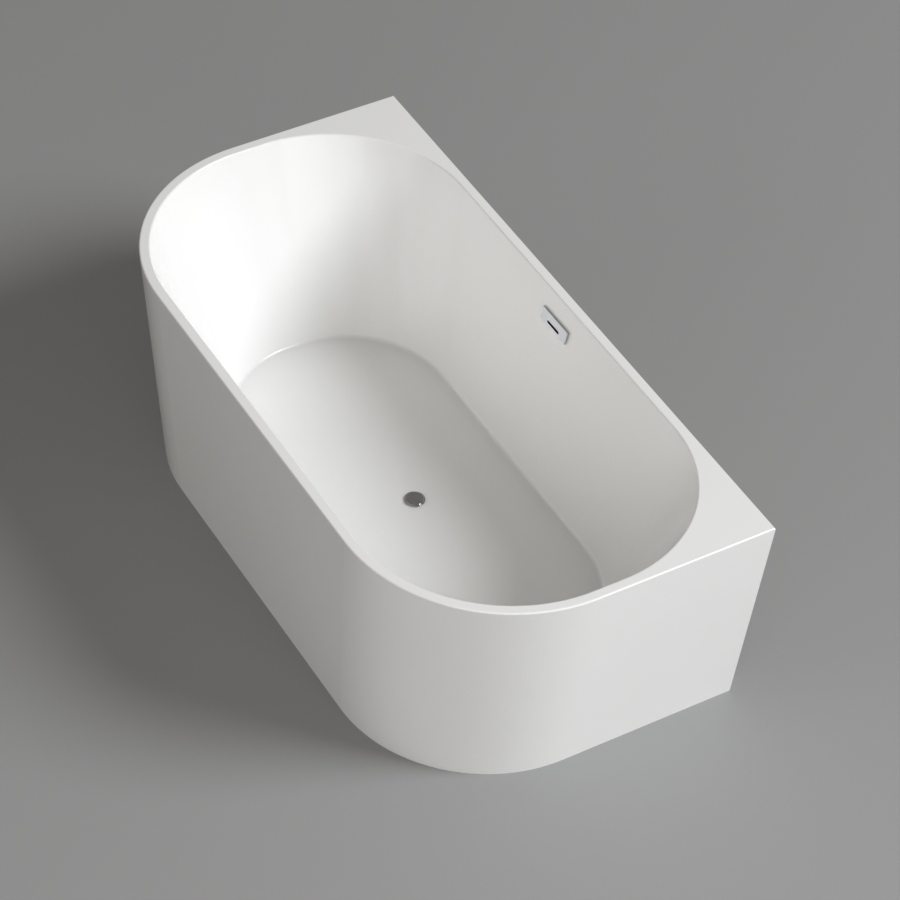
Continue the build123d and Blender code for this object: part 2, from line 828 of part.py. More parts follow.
def overflow_throat():
    """Flanged sleeve through the wall of the bowl; it clamps the wall between plate and box."""
    spare = 2 * overflow_flange_margin
    flange = SlotOverall(overflow_hole_width + spare, overflow_hole_height + overflow_flange_margin)
    flange_face = fit + throat_flange_thickness
    sleeve = SlotOverall(overflow_hole_width - 2 * fit, overflow_hole_height - 2 * fit)
    throat = on_wall(flange, fit, flange_face) + on_wall(sleeve, -overflow_throat_length, flange_face)
    inside = 2 * (fit + overflow_throat_wall)
    bore = SlotOverall(overflow_hole_width - inside, overflow_hole_height - inside)
    return throat - on_wall(bore, -overflow_throat_length - over, flange_face + over)


def overflow_gasket():
    spare = 2 * gasket_margin
    outline = Rectangle(overflow_hole_width + spare, overflow_hole_height + spare)
    return on_wall(outline, -gasket_back, -seat_back) - overflow_hole(0.0, 2 * gasket_back)


spigot_y = back_plane - spigot_wall_gap


def overflow_box():
    """Flat chamber behind the bowl's wall, with a spigot straight down."""
    spare = 2 * gasket_margin
    across = overflow_hole_width + spare
    up = overflow_hole_height + spare
    back = gasket_back + box_depth
    box = on_wall(Rectangle(across, up), -back, -gasket_back)
    spigot_top = spigot_end + spigot_rise
    spigot = upright(overflow_pipe_radius, spigot_end, spigot_top, 0, spigot_y)
    box += spigot - on_wall(Rectangle(across, spigot_end), -gasket_back, laminate_grow)
    hollow = Rectangle(across - 2 * box_wall, up - 2 * box_wall)
    box -= on_wall(hollow, -back + box_wall, -gasket_back - box_wall)
    box -= on_wall(SlotOverall(overflow_hole_width, overflow_hole_height), -back + box_wall, 0)
    bore = overflow_pipe_radius - pipe_wall
    return box - upright(bore, spigot_end - over, spigot_top - spigot_cap, 0, spigot_y)


tee_mouth = waste_y + tee_reach


def overflow_pipe():
    """Rigid pipe: down from the box, round one bend, and level into the tee."""
    top = Vector(0, spigot_y, spigot_end - fit)
    corner = Vector(0, spigot_y, tee_height)
    end = Vector(0, tee_mouth + fit, tee_height)
    path = FilletPolyline(top, corner, end, radius=pipe_bend_radius)
    start = Plane(origin=top, z_dir=(0, 0, -1))
    outer = sweep(start * Circle(overflow_pipe_radius), path=path)
    return outer - sweep(start * Circle(overflow_pipe_radius - pipe_wall), path=path)


def pipe_nut(place):
    """Sleeve nut over a joint of the overflow pipe, in the joint's own plane."""
    outer = Cylinder(overflow_pipe_radius + pipe_nut_wall, pipe_nut_length)
    inner = Cylinder(overflow_pipe_radius + fit, pipe_nut_length + over)
    seat = Cylinder(overflow_pipe_radius + pipe_nut_wall / 2, pipe_seal_length + 2 * fit)
    return place * (outer - inner - seat)


def pipe_seal(place):
    outer = Cylinder(overflow_pipe_radius + pipe_nut_wall / 2 - fit, pipe_seal_length)
    return place * (outer - Cylinder(overflow_pipe_radius + running_gap, pipe_seal_length + over))


upper_joint = Plane(origin=(0, spigot_y, spigot_end), z_dir=(0, 0, 1))
lower_joint = Plane(origin=(0, tee_mouth, tee_height), z_dir=(0, 1, 0))

nodes = {
    "basin_shell": basin_shell(),
    "basin_backing": basin_backing(),
    "outer_skirt": outer_skirt(),
    "skirt_backing": skirt_backing(),
    "base_board": base_board(),
    "deck_board_left": deck_board(-1),
    "deck_board_right": deck_board(1),
    "cradle_bar_left": cradle_bar(-1),
    "cradle_bar_right": cradle_bar(1),
    "cradle_end_caps": cradle_end_caps(),
    "end_strut_left": end_strut(-1),
    "end_strut_right": end_strut(1),
    "skirt_brackets": skirt_brackets(),
    "skirt_blocks": skirt_blocks(),
    "centre_foot_plate": centre_foot_plate(),
    "wall_bracket_left": wall_bracket(-1),
    "wall_bracket_right": wall_bracket(1),
    "board_screws": screw_group(screws_under_board() + [bracket_screw(-1), bracket_screw(1)]),
    "block_screws": screw_group(screws_into_blocks()),
    "deck_board_screws": screw_group(screws_into_deck()),
    "foot_weld_nuts": foot_weld_nuts(),
    "foot_lock_nuts": foot_lock_nuts(),
    "waste_flange": waste_flange(),
    "waste_top_seal": waste_top_seal(),
    "waste_lower_seal": waste_lower_seal(),
    "waste_body": waste_body(),
    "click_cartridge": click_cartridge(),
    "plug_spring": plug_spring(),
    "plug_cap": plug_cap(),
    "plug_seal": plug_seal(),
    "plug_plunger": plug_plunger(),
    "trap_cup": trap_cup(),
    "trap_seal": trap_seal(),
    "trap_ring_nut": trap_ring_nut(),
    "outlet_nut": outlet_nut(),
    "outlet_seal": outlet_seal(),
    "outlet_pipe": outlet_pipe(),
    "overflow_plate": overflow_plate(),
    "overflow_throat": overflow_throat(),
    "overflow_gasket": overflow_gasket(),
    "overflow_box": overflow_box(),
    "overflow_pipe": overflow_pipe(),
    "overflow_upper_nut": pipe_nut(upper_joint),
    "overflow_lower_nut": pipe_nut(lower_joint),
    "overflow_pipe_seals": [pipe_seal(upper_joint), pipe_seal(lower_joint)],
}
for number, place in enumerate(foot_places, start=1):
    nodes[f"foot_pad_{number}"] = foot_pad(place)
    nodes[f"foot_rod_{number}"] = foot_rod(place)

os.makedirs("parts", exist_ok=True)
for name, shape in nodes.items():
    solid = Compound(children=shape) if isinstance(shape, list) else shape
    export_step(solid, f"parts/{name}.step")
print(len(nodes), "nodes")
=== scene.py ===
# %% [markdown]
# # A back-to-wall bathtub
#
# The bath is one white acrylic bowl with a flat rim, an apron of the same acrylic round its front and
# ends, and a steel cradle with five feet that nobody sees from above. Its straight side stands against a
# wall.
#
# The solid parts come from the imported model, in metres, and stay where they are. This lesson gives each
# of them a finish made from nodes, and adds the small pieces that a finish can't give, such as threads
# and screw heads.

import json
import math

import bmesh
import bpy
from mathutils import Matrix, Vector


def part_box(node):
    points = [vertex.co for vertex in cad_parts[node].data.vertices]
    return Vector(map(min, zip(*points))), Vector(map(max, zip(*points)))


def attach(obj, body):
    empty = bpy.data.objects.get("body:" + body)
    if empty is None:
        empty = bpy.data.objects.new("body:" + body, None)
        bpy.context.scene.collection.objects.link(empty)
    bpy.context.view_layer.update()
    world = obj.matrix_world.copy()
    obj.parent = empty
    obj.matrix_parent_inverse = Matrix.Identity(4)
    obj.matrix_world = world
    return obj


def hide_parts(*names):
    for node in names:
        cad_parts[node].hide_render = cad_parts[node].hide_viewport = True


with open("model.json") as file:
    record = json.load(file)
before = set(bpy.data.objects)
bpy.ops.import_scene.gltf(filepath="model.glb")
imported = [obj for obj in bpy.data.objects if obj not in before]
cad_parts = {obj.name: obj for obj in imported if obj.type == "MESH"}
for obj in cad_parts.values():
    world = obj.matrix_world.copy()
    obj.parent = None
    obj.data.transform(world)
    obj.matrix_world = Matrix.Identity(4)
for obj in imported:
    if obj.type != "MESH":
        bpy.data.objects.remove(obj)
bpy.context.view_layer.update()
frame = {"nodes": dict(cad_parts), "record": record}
nodes = frame["nodes"]

# %% [markdown]
# ## Levels of grey
#
# Paints and plastics are usually named by how light they look on a screen. Shaders count light instead,
# which is not in step with that, so one small helper turns a screen level from 0 to 255 into an amount of
# light.


# %% Turn screen levels into light
def light_level(level):
    share = level / 255
    if share <= 0.04045:
        return share / 12.92
    return ((share + 0.055) / 1.055) ** 2.4


def tint(red, green, blue):
    """A colour for a shader socket, from screen levels."""
    return (light_level(red), light_level(green), light_level(blue), 1.0)


print("screen level 145 is", round(light_level(145), 3), "of full light")

# %% [markdown]
# ## The camera
#
# The bath was photographed from above its right front corner with a long lens, so its lines run almost
# parallel. Its directions are worked out here, because the camera also leans a little to one side.

# %% Place the camera
camera_side = math.radians(57.8353)
camera_rise = math.radians(43.8980)
camera_roll = math.radians(3.2237)
camera_target = Vector((0.04596, 0.08465, 0.30))
camera_distance = 8.08236
camera_lens = 138.47

flat_part = math.cos(camera_rise)
away = Vector((math.sin(camera_side) * flat_part, -math.cos(camera_side) * flat_part, math.sin(camera_rise)))
level_right = Vector((math.cos(camera_side), math.sin(camera_side), 0.0))
level_up = away.cross(level_right)
camera_right = level_right * math.cos(camera_roll) + level_up * math.sin(camera_roll)
camera_up = level_up * math.cos(camera_roll) - level_right * math.sin(camera_roll)

lens = bpy.data.cameras.new("camera")
lens.lens = camera_lens
lens.clip_end = 60.0
camera = bpy.data.objects.new("camera", lens)
bpy.context.collection.objects.link(camera)
turn = Matrix((camera_right, camera_up, away)).transposed().to_4x4()
camera.matrix_world = Matrix.Translation(camera_target + away * camera_distance) @ turn
bpy.context.scene.camera = camera
bpy.context.scene.view_settings.view_transform = "Standard"
print("camera", round(camera_distance, 2), "m away, lens", camera_lens, "mm")

# %% [markdown]
# ## The light
#
# One broad, soft lamp stands to the right and a little behind. Weaker lamps in front, at the near corner
# and at the right lift the apron. The key lamp is slightly cool and the even sky slightly warm, so lit
# white stays neutral while the shadows turn warm. The lamps' strengths are worked out from the brightness
# wanted, so a colour renders about as it is written.

# %% Set the lamps and the sky
key_direction = Vector((0.532, 0.551, 0.643))
key_distance = 16.0
key_size = 6.5
key_level = 0.733
key_tone = (0.95, 0.975, 1.0)
front_direction = Vector((0.0, -1.0, 0.35))
front_distance = 14.0
front_size = 8.0
front_level = 0.10
corner_direction = Vector((0.75, -0.6, 0.45))
corner_distance = 5.0
corner_size = 3.0
corner_level = 0.09
side_direction = Vector((1.0, -0.1, 0.35))
side_distance = 5.0
side_size = 3.0
side_level = 0.11
sky_color = (0.230, 0.215, 0.202, 1.0)


def lamp(name, direction, distance, size, level, tone=(1.0, 1.0, 1.0)):
    """A round lamp aimed at the bath; level is how bright it makes a white sheet that faces it."""
    data = bpy.data.lights.new(name, "AREA")
    data.shape = "DISK"
    data.size = size
    data.color = tone
    data.energy = level * (math.pi * distance) ** 2
    lit = bpy.data.objects.new(name, data)
    bpy.context.collection.objects.link(lit)
    direction = direction.normalized()
    lit.location = direction * distance
    lit.rotation_euler = direction.to_track_quat("Z", "Y").to_euler()
    print(name, round(data.energy), "W")
    return lit


lamp("key", key_direction, key_distance, key_size, key_level, key_tone)
lamp("front", front_direction, front_distance, front_size, front_level)
lamp("corner", corner_direction, corner_distance, corner_size, corner_level)
lamp("side", side_direction, side_distance, side_size, side_level)

sky = bpy.data.worlds.new("sky")
sky.use_nodes = True
sky.node_tree.nodes["Background"].inputs["Color"].default_value = sky_color
bpy.context.scene.world = sky

# %% [markdown]
# ## Helpers for node trees
#
# Every finish below is a tree of nodes. Short helpers keep the trees readable: they add a node and set
# its inputs by name, start a material or a shared group, place that group in a material, join two values
# or colours, and turn a pattern of heights into bumps.


# %% Write the node helpers
def add_node(tree, kind, values=None, **settings):
    """A new node with its settings and the values of its inputs."""
    made = tree.nodes.new("ShaderNode" + kind)
    for name, setting in settings.items():
        setattr(made, name, setting)
    for name, value in (values or {}).items():
        made.inputs[name].default_value = value
    return made


def start_material(name, stretch=(1.0, 1.0, 1.0), offset=(0.0, 0.0, 0.0)):
    """A new material, its shader, and the place on the object that its patterns read."""
    material = bpy.data.materials.new(name)
    material.use_nodes = True
    tree = material.node_tree
    place = add_node(tree, "TexCoord")
    mapping = add_node(tree, "Mapping", {"Scale": stretch, "Location": offset})
    tree.links.new(place.outputs["Object"], mapping.inputs["Vector"])
    return material, tree, tree.nodes["Principled BSDF"], mapping.outputs["Vector"]


def start_group(name, inputs, outputs):
    """A node group with named sockets; each input is a kind, a name and a value."""
    group = bpy.data.node_groups.new(name, "ShaderNodeTree")
    for kind, title, value in inputs:
        socket = group.interface.new_socket(title, in_out="INPUT", socket_type="NodeSocket" + kind)
        socket.default_value = value
    for kind, title in outputs:
        group.interface.new_socket(title, in_out="OUTPUT", socket_type="NodeSocket" + kind)
    return group, group.nodes.new("NodeGroupInput"), group.nodes.new("NodeGroupOutput")


def use_group(tree, group, place, values):
    """Places a shared group in a tree, fed by a place on the object."""
    made = tree.nodes.new("ShaderNodeGroup")
    made.node_tree = group
    tree.links.new(place, made.inputs["Place"])
    for name, value in values.items():
        made.inputs[name].default_value = value
    return made


def math_node(tree, operation, first, second):
    """Joins two values; each is a socket or a number."""
    made = add_node(tree, "Math", operation=operation)
    for number, value in enumerate((first, second)):
        if isinstance(value, (int, float)):
            made.inputs[number].default_value = value
        else:
            tree.links.new(value, made.inputs[number])
    return made.outputs["Value"]


def blend_colors(tree, share, first, second):
    """A mix of two colours; each is a socket or a colour, and share is a socket."""
    made = add_node(tree, "Mix", data_type="RGBA")
    tree.links.new(share, made.inputs["Factor"])
    for socket, value in ((made.inputs["A"], first), (made.inputs["B"], second)):
        if isinstance(value, tuple):
            socket.default_value = value
        else:
            tree.links.new(value, socket)
    return made.outputs["Result"]


def raise_surface(tree, shader, height, strength, distance):
    """Lets a height pattern bend the light on a surface."""
    bump = add_node(tree, "Bump", {"Strength": strength, "Distance": distance})
    tree.links.new(height, bump.inputs["Height"])
    tree.links.new(bump.outputs["Normal"], shader.inputs["Normal"])


print("helpers ready")

# %% [markdown]
# ## Effects that several finishes share
#
# Nothing that has been made, carried and wiped is quite even. Three groups give that: handling marks
# change how dull a surface is from place to place, tone drift changes its colour by a few percent, and
# fine grain is the texture that a mould or a casting leaves.


# %% Group: handling marks
def make_handling_marks():
    inputs = [("Vector", "Place", (0, 0, 0)), ("Float", "Scale", 4.0), ("Float", "Dullness", 0.3),
              ("Float", "Spread", 0.1)]
    group, start, end = start_group("handling marks", inputs, [("Float", "Roughness")])
    wide = add_node(group, "TexNoise", {"Detail": 5.0, "Roughness": 0.62, "Distortion": 0.6})
    group.links.new(start.outputs["Place"], wide.inputs["Vector"])
    group.links.new(start.outputs["Scale"], wide.inputs["Scale"])
    centred = math_node(group, "SUBTRACT", wide.outputs["Fac"], 0.5)
    spread = math_node(group, "MULTIPLY", centred, start.outputs["Spread"])
    doubled = math_node(group, "MULTIPLY", spread, 2.0)
    group.links.new(math_node(group, "ADD", doubled, start.outputs["Dullness"]), end.inputs["Roughness"])
    return group


handling_marks = make_handling_marks()
print("group", handling_marks.name)


# %% Group: tone drift
def make_tone_drift():
    inputs = [("Vector", "Place", (0, 0, 0)), ("Float", "Scale", 3.0), ("Color", "Light tone", (1, 1, 1, 1)),
              ("Color", "Dark tone", (0.9, 0.9, 0.9, 1))]
    group, start, end = start_group("tone drift", inputs, [("Color", "Color"), ("Float", "Share")])
    cloud = add_node(group, "TexNoise", {"Detail": 4.0, "Roughness": 0.55})
    group.links.new(start.outputs["Place"], cloud.inputs["Vector"])
    group.links.new(start.outputs["Scale"], cloud.inputs["Scale"])
    limits = {"From Min": 0.32, "From Max": 0.68}
    spread = add_node(group, "MapRange", limits, interpolation_type="SMOOTHSTEP")
    group.links.new(cloud.outputs["Fac"], spread.inputs["Value"])
    share = spread.outputs["Result"]
    color = blend_colors(group, share, start.outputs["Light tone"], start.outputs["Dark tone"])
    group.links.new(color, end.inputs["Color"])
    group.links.new(share, end.inputs["Share"])
    return group


tone_drift = make_tone_drift()
print("group", tone_drift.name)


# %% Group: fine grain
def make_fine_grain():
    inputs = [("Vector", "Place", (0, 0, 0)), ("Float", "Scale", 900.0)]
    group, start, end = start_group("fine grain", inputs, [("Float", "Height")])
    pits = add_node(group, "TexVoronoi", {"Randomness": 1.0}, feature="SMOOTH_F1")
    cloud = add_node(group, "TexNoise", {"Detail": 3.0, "Roughness": 0.6})
    for texture in (pits, cloud):
        group.links.new(start.outputs["Place"], texture.inputs["Vector"])
        group.links.new(start.outputs["Scale"], texture.inputs["Scale"])
    half = math_node(group, "MULTIPLY", pits.outputs["Distance"], 0.5)
    group.links.new(math_node(group, "ADD", half, cloud.outputs["Fac"]), end.inputs["Height"])
    return group


fine_grain = make_fine_grain()
print("group", fine_grain.name)

# %% [markdown]
# ## White acrylic
#
# Sanitary acrylic is a cast sheet that was softened and drawn over a mould. It keeps a deep soft gloss,
# and the drawing leaves very long, very shallow waves that only show in reflections. A thin clear coat
# over a slightly duller body gives both the sharp and the soft part of that gloss.


# %% Finish: acrylic
acrylic_index = 1.49
coat_share = 0.35
coat_dullness = 0.06
wave_density = 9.0
wave_strength = 0.10
wave_depth = 0.004


def make_acrylic(name, offset):
    material, tree, shader, place = start_material(name, offset=offset)
    drift = use_group(tree, tone_drift, place, {
        "Scale": 1.4,
        "Light tone": tint(251, 251, 250),
        "Dark tone": tint(249, 249, 247),
    })
    tree.links.new(drift.outputs["Color"], shader.inputs["Base Color"])
    marks = use_group(tree, handling_marks, place, {"Scale": 3.0, "Dullness": 0.24, "Spread": 0.07})
    tree.links.new(marks.outputs["Roughness"], shader.inputs["Roughness"])
    shader.inputs["IOR"].default_value = acrylic_index
    shader.inputs["Coat Weight"].default_value = coat_share
    shader.inputs["Coat Roughness"].default_value = coat_dullness
    waves = add_node(tree, "TexNoise", {"Scale": wave_density, "Detail": 1.0})
    tree.links.new(place, waves.inputs["Vector"])
    raise_surface(tree, shader, waves.outputs["Fac"], wave_strength, wave_depth)
    return material


bowl_acrylic = make_acrylic("bowl acrylic", (0.0, 0.0, 0.0))
skirt_acrylic = make_acrylic("skirt acrylic", (3.1, 1.7, 0.4))
print("materials", bowl_acrylic.name, "and", skirt_acrylic.name)

# %% [markdown]
# ## Glass-fibre laminate
#
# The acrylic is only a skin. Behind it lies resin with chopped glass strands, sprayed on and rolled flat:
# pale, a little yellow, with strands crossing in every direction and darker resin between them. Noise
# that is squeezed in one direction looks like strands, and four such noises turned against each other
# look like chopped glass.


# %% Group: crossing strands
strand_tilts = ((0.4, 0.3, 0.2), (1.3, 0.7, 1.1), (0.2, 1.2, 2.2), (0.9, 2.0, 0.3))
strand_squeeze = 14.0
strand_bend = 0.008


def make_crossing_strands():
    inputs = [("Vector", "Place", (0, 0, 0)), ("Float", "Scale", 14.0)]
    group, start, end = start_group("crossing strands", inputs, [("Float", "Strands")])
    warp = add_node(group, "TexNoise", {"Scale": 16.0, "Detail": 2.0})
    group.links.new(start.outputs["Place"], warp.inputs["Vector"])
    shift = add_node(group, "VectorMath", {"Scale": strand_bend}, operation="SCALE")
    group.links.new(warp.outputs["Color"], shift.inputs[0])
    moved = add_node(group, "VectorMath", operation="ADD")
    group.links.new(start.outputs["Place"], moved.inputs[0])
    group.links.new(shift.outputs["Vector"], moved.inputs[1])
    total = None
    for tilt in strand_tilts:
        squeeze = (1.0, strand_squeeze, strand_squeeze)
        turned = add_node(group, "Mapping", {"Rotation": tilt, "Scale": squeeze})
        group.links.new(moved.outputs["Vector"], turned.inputs["Vector"])
        strand = add_node(group, "TexNoise", {"Detail": 1.5})
        group.links.new(turned.outputs["Vector"], strand.inputs["Vector"])
        group.links.new(start.outputs["Scale"], strand.inputs["Scale"])
        fac = strand.outputs["Fac"]
        total = fac if total is None else math_node(group, "MAXIMUM", total, fac)
    limits = {"From Min": 0.50, "From Max": 0.72}
    sharp = add_node(group, "MapRange", limits, interpolation_type="SMOOTHSTEP")
    group.links.new(total, sharp.inputs["Value"])
    group.links.new(sharp.outputs["Result"], end.inputs["Strands"])
    return group


crossing_strands = make_crossing_strands()
print("group", crossing_strands.name)


# %% Finish: laminate
def make_laminate():
    material, tree, shader, place = start_material("laminate")
    strands = use_group(tree, crossing_strands, place, {"Scale": 32.0}).outputs["Strands"]
    resin = use_group(tree, tone_drift, place, {
        "Scale": 7.0,
        "Light tone": tint(206, 202, 184),
        "Dark tone": tint(184, 178, 152),
    })
    color = blend_colors(tree, strands, resin.outputs["Color"], tint(226, 224, 212))
    tree.links.new(color, shader.inputs["Base Color"])
    marks = use_group(tree, handling_marks, place, {"Scale": 20.0, "Dullness": 0.42, "Spread": 0.16})
    tree.links.new(marks.outputs["Roughness"], shader.inputs["Roughness"])
    raise_surface(tree, shader, strands, 0.5, 0.0008)
    return material


laminate = make_laminate()
print("material", laminate.name)

# %% [markdown]
# ## Chipboard
#
# The board under the floor and the blocks on the skirt are chipboard: flakes of softwood pressed with
# glue. Voronoi cells with a random tone each make the flakes, at two sizes, and their edges make the
# surface rough.


# %% Finish: chipboard
flake_stretch = (1.0, 1.35, 1.7)
large_flakes = 110.0
small_flakes = 340.0
flake_bend = 0.012


def make_chipboard():
    material, tree, shader, place = start_material("chipboard", stretch=flake_stretch)
    warp = add_node(tree, "TexNoise", {"Scale": 60.0, "Detail": 2.0})
    tree.links.new(place, warp.inputs["Vector"])
    shift = add_node(tree, "VectorMath", {"Scale": flake_bend}, operation="SCALE")
    tree.links.new(warp.outputs["Color"], shift.inputs[0])
    moved = add_node(tree, "VectorMath", operation="ADD")
    tree.links.new(place, moved.inputs[0])
    tree.links.new(shift.outputs["Vector"], moved.inputs[1])
    large = add_node(tree, "TexVoronoi", {"Scale": large_flakes})
    small = add_node(tree, "TexVoronoi", {"Scale": small_flakes})
    for flakes in (large, small):
        tree.links.new(moved.outputs["Vector"], flakes.inputs["Vector"])
    split = add_node(tree, "SeparateColor")
    tree.links.new(large.outputs["Color"], split.inputs["Color"])
    fine = add_node(tree, "SeparateColor")
    tree.links.new(small.outputs["Color"], fine.inputs["Color"])
    wood = blend_colors(tree, split.outputs["Red"], tint(196, 164, 118), tint(158, 122, 80))
    dark = math_node(tree, "MULTIPLY", fine.outputs["Green"], 0.55)
    tree.links.new(blend_colors(tree, dark, wood, tint(122, 92, 60)), shader.inputs["Base Color"])
    marks = use_group(tree, handling_marks, place, {"Scale": 80.0, "Dullness": 0.78, "Spread": 0.12})
    tree.links.new(marks.outputs["Roughness"], shader.inputs["Roughness"])
    edges = math_node(tree, "ADD", large.outputs["Distance"], small.outputs["Distance"])
    raise_surface(tree, shader, edges, 0.35, 0.0006)
    return material


chipboard = make_chipboard()
print("material", chipboard.name)

# %% [markdown]
# ## Zinc on sheet steel
#
# The cradle is bent from galvanised sheet. Molten zinc freezes in flat crystals, which show as a
# patchwork of slightly different greys, and rolling leaves faint lines along the strip. Both are patterns
# of dullness more than of colour, so they go to the roughness as well.


# %% Finish: galvanised steel
crystal_density = 75.0
line_density = 900.0
line_stretch = 8.0


def make_galvanised(name, stretch):
    material, tree, shader, place = start_material(name)
    spangle = add_node(tree, "TexVoronoi", {"Scale": crystal_density})
    tree.links.new(place, spangle.inputs["Vector"])
    tones = add_node(tree, "SeparateColor")
    tree.links.new(spangle.outputs["Color"], tones.inputs["Color"])
    metal = blend_colors(tree, tones.outputs["Red"], tint(196, 199, 202), tint(170, 174, 178))
    bloom = use_group(tree, tone_drift, place, {"Scale": 22.0}).outputs["Share"]
    veil = math_node(tree, "MULTIPLY", bloom, 0.35)
    tree.links.new(blend_colors(tree, veil, metal, tint(206, 208, 208)), shader.inputs["Base Color"])
    shader.inputs["Metallic"].default_value = 1.0
    lines = add_node(tree, "Mapping", {"Scale": stretch})
    tree.links.new(place, lines.inputs["Vector"])
    rolled = add_node(tree, "TexNoise", {"Scale": 1.0, "Detail": 3.0})
    tree.links.new(lines.outputs["Vector"], rolled.inputs["Vector"])
    crystal = math_node(tree, "MULTIPLY", tones.outputs["Green"], 0.14)
    streak = math_node(tree, "MULTIPLY", rolled.outputs["Fac"], 0.16)
    dull = math_node(tree, "ADD", math_node(tree, "ADD", crystal, streak), 0.30)
    tree.links.new(dull, shader.inputs["Roughness"])
    raise_surface(tree, shader, rolled.outputs["Fac"], 0.12, 0.0003)
    return material


lines_along_y = (line_density, line_stretch, line_density)
lines_along_x = (line_stretch, line_density, line_density)
steel_along_y = make_galvanised("galvanised steel, rolled across the bath", lines_along_y)
steel_along_x = make_galvanised("galvanised steel, rolled along the bath", lines_along_x)
print("materials", steel_along_y.name, "and", steel_along_x.name)

# %% [markdown]
# ## Bright zinc on threads and screws
#
# Nuts, rods and screws are plated bright, with a faint blue and yellow bloom from the passivation bath,
# and the lathe leaves rings round them. They are small, so their pattern has a fine scale.


# %% Finish: plated fasteners
def make_plated_steel():
    material, tree, shader, place = start_material("bright zinc plate")
    bloom = use_group(tree, tone_drift, place, {
        "Scale": 90.0,
        "Light tone": tint(206, 208, 212),
        "Dark tone": tint(196, 190, 172),
    })
    tree.links.new(bloom.outputs["Color"], shader.inputs["Base Color"])
    shader.inputs["Metallic"].default_value = 1.0
    marks = use_group(tree, handling_marks, place, {"Scale": 160.0, "Dullness": 0.27, "Spread": 0.14})
    tree.links.new(marks.outputs["Roughness"], shader.inputs["Roughness"])
    rings = use_group(tree, fine_grain, place, {"Scale": 1400.0})
    raise_surface(tree, shader, rings.outputs["Height"], 0.12, 0.0001)
    return material


plated_steel = make_plated_steel()
print("material", plated_steel.name)

# %% [markdown]
# ## Chrome
#
# Polished chrome has hardly any colour of its own. What makes it look real is what it reflects and how it
# was last wiped: faint arcs of dullness, and a very slight softness in the reflection of flat faces.


# %% Finish: chrome
wipe_stretch = (9.0, 60.0, 60.0)
wipe_tilt = (0.3, 0.2, 0.5)


def make_chrome():
    material, tree, shader, place = start_material("polished chrome")
    drift = use_group(tree, tone_drift, place, {
        "Scale": 30.0,
        "Light tone": tint(194, 195, 197),
        "Dark tone": tint(186, 187, 189),
    })
    tree.links.new(drift.outputs["Color"], shader.inputs["Base Color"])
    shader.inputs["Metallic"].default_value = 1.0
    wiped = add_node(tree, "Mapping", {"Scale": wipe_stretch, "Rotation": wipe_tilt})
    tree.links.new(place, wiped.inputs["Vector"])
    marks = use_group(tree, handling_marks, wiped.outputs["Vector"], {
        "Scale": 1.0,
        "Dullness": 0.11,
        "Spread": 0.07,
    })
    tree.links.new(marks.outputs["Roughness"], shader.inputs["Roughness"])
    waves = add_node(tree, "TexNoise", {"Scale": 70.0, "Detail": 1.0})
    tree.links.new(place, waves.inputs["Vector"])
    raise_surface(tree, shader, waves.outputs["Fac"], 0.04, 0.0004)
    return material


chrome = make_chrome()
print("material", chrome.name)

# %% [markdown]
# ## Turned brass
#
# The push mechanism is turned from brass bar. The tool leaves rings round its axis, which here is the
# vertical line through the waste, and the metal has darkened a little where it was touched.


# %% Finish: brass
turning_marks = (30.0, 30.0, 2600.0)


def make_brass():
    material, tree, shader, place = start_material("turned brass", stretch=turning_marks)
    rings = add_node(tree, "TexNoise", {"Scale": 1.0, "Detail": 2.0})
    tree.links.new(place, rings.inputs["Vector"])
    spot = add_node(tree, "TexCoord")
    drift = use_group(tree, tone_drift, spot.outputs["Object"], {
        "Scale": 120.0,
        "Light tone": tint(222, 196, 132),
        "Dark tone": tint(184, 148, 84),
    })
    tree.links.new(drift.outputs["Color"], shader.inputs["Base Color"])
    shader.inputs["Metallic"].default_value = 1.0
    dull = math_node(tree, "ADD", math_node(tree, "MULTIPLY", rings.outputs["Fac"], 0.18), 0.18)
    tree.links.new(dull, shader.inputs["Roughness"])
    raise_surface(tree, shader, rings.outputs["Fac"], 0.2, 0.0001)
    return material


brass = make_brass()
print("material", brass.name)

# %% [markdown]
# ## Moulded plastics and rubber
#
# The pipes, the trap and the overflow box are moulded in white polypropylene: satin, with a fine grain
# and soft flow marks. The feet and caps are the same kind of plastic in black. The seals are black
# rubber, duller still, with a trace of the talc that keeps them from sticking.


# %% Finish: plastics and rubber
def make_plastic(name, light_tone, dark_tone, dullness, grain):
    material, tree, shader, place = start_material(name)
    drift = use_group(tree, tone_drift, place, {
        "Scale": 18.0,
        "Light tone": light_tone,
        "Dark tone": dark_tone,
    })
    tree.links.new(drift.outputs["Color"], shader.inputs["Base Color"])
    marks = use_group(tree, handling_marks, place, {"Scale": 45.0, "Dullness": dullness, "Spread": 0.12})
    tree.links.new(marks.outputs["Roughness"], shader.inputs["Roughness"])
    texture = use_group(tree, fine_grain, place, {"Scale": grain})
    raise_surface(tree, shader, texture.outputs["Height"], 0.18, 0.00012)
    return material


white_plastic = make_plastic("white plastic", tint(232, 232, 228), tint(224, 223, 217), 0.42, 1300.0)
black_plastic = make_plastic("black plastic", tint(46, 46, 47), tint(33, 33, 34), 0.48, 1100.0)
rubber = make_plastic("rubber", tint(52, 52, 51), tint(36, 36, 36), 0.72, 700.0)
print("materials", white_plastic.name, black_plastic.name, rubber.name)

# %% [markdown]
# ## Give every part its finish
#
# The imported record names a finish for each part. The steel of the struts is rolled along the bath and
# that of the bars across it, so those two kinds get their own version of the same material.

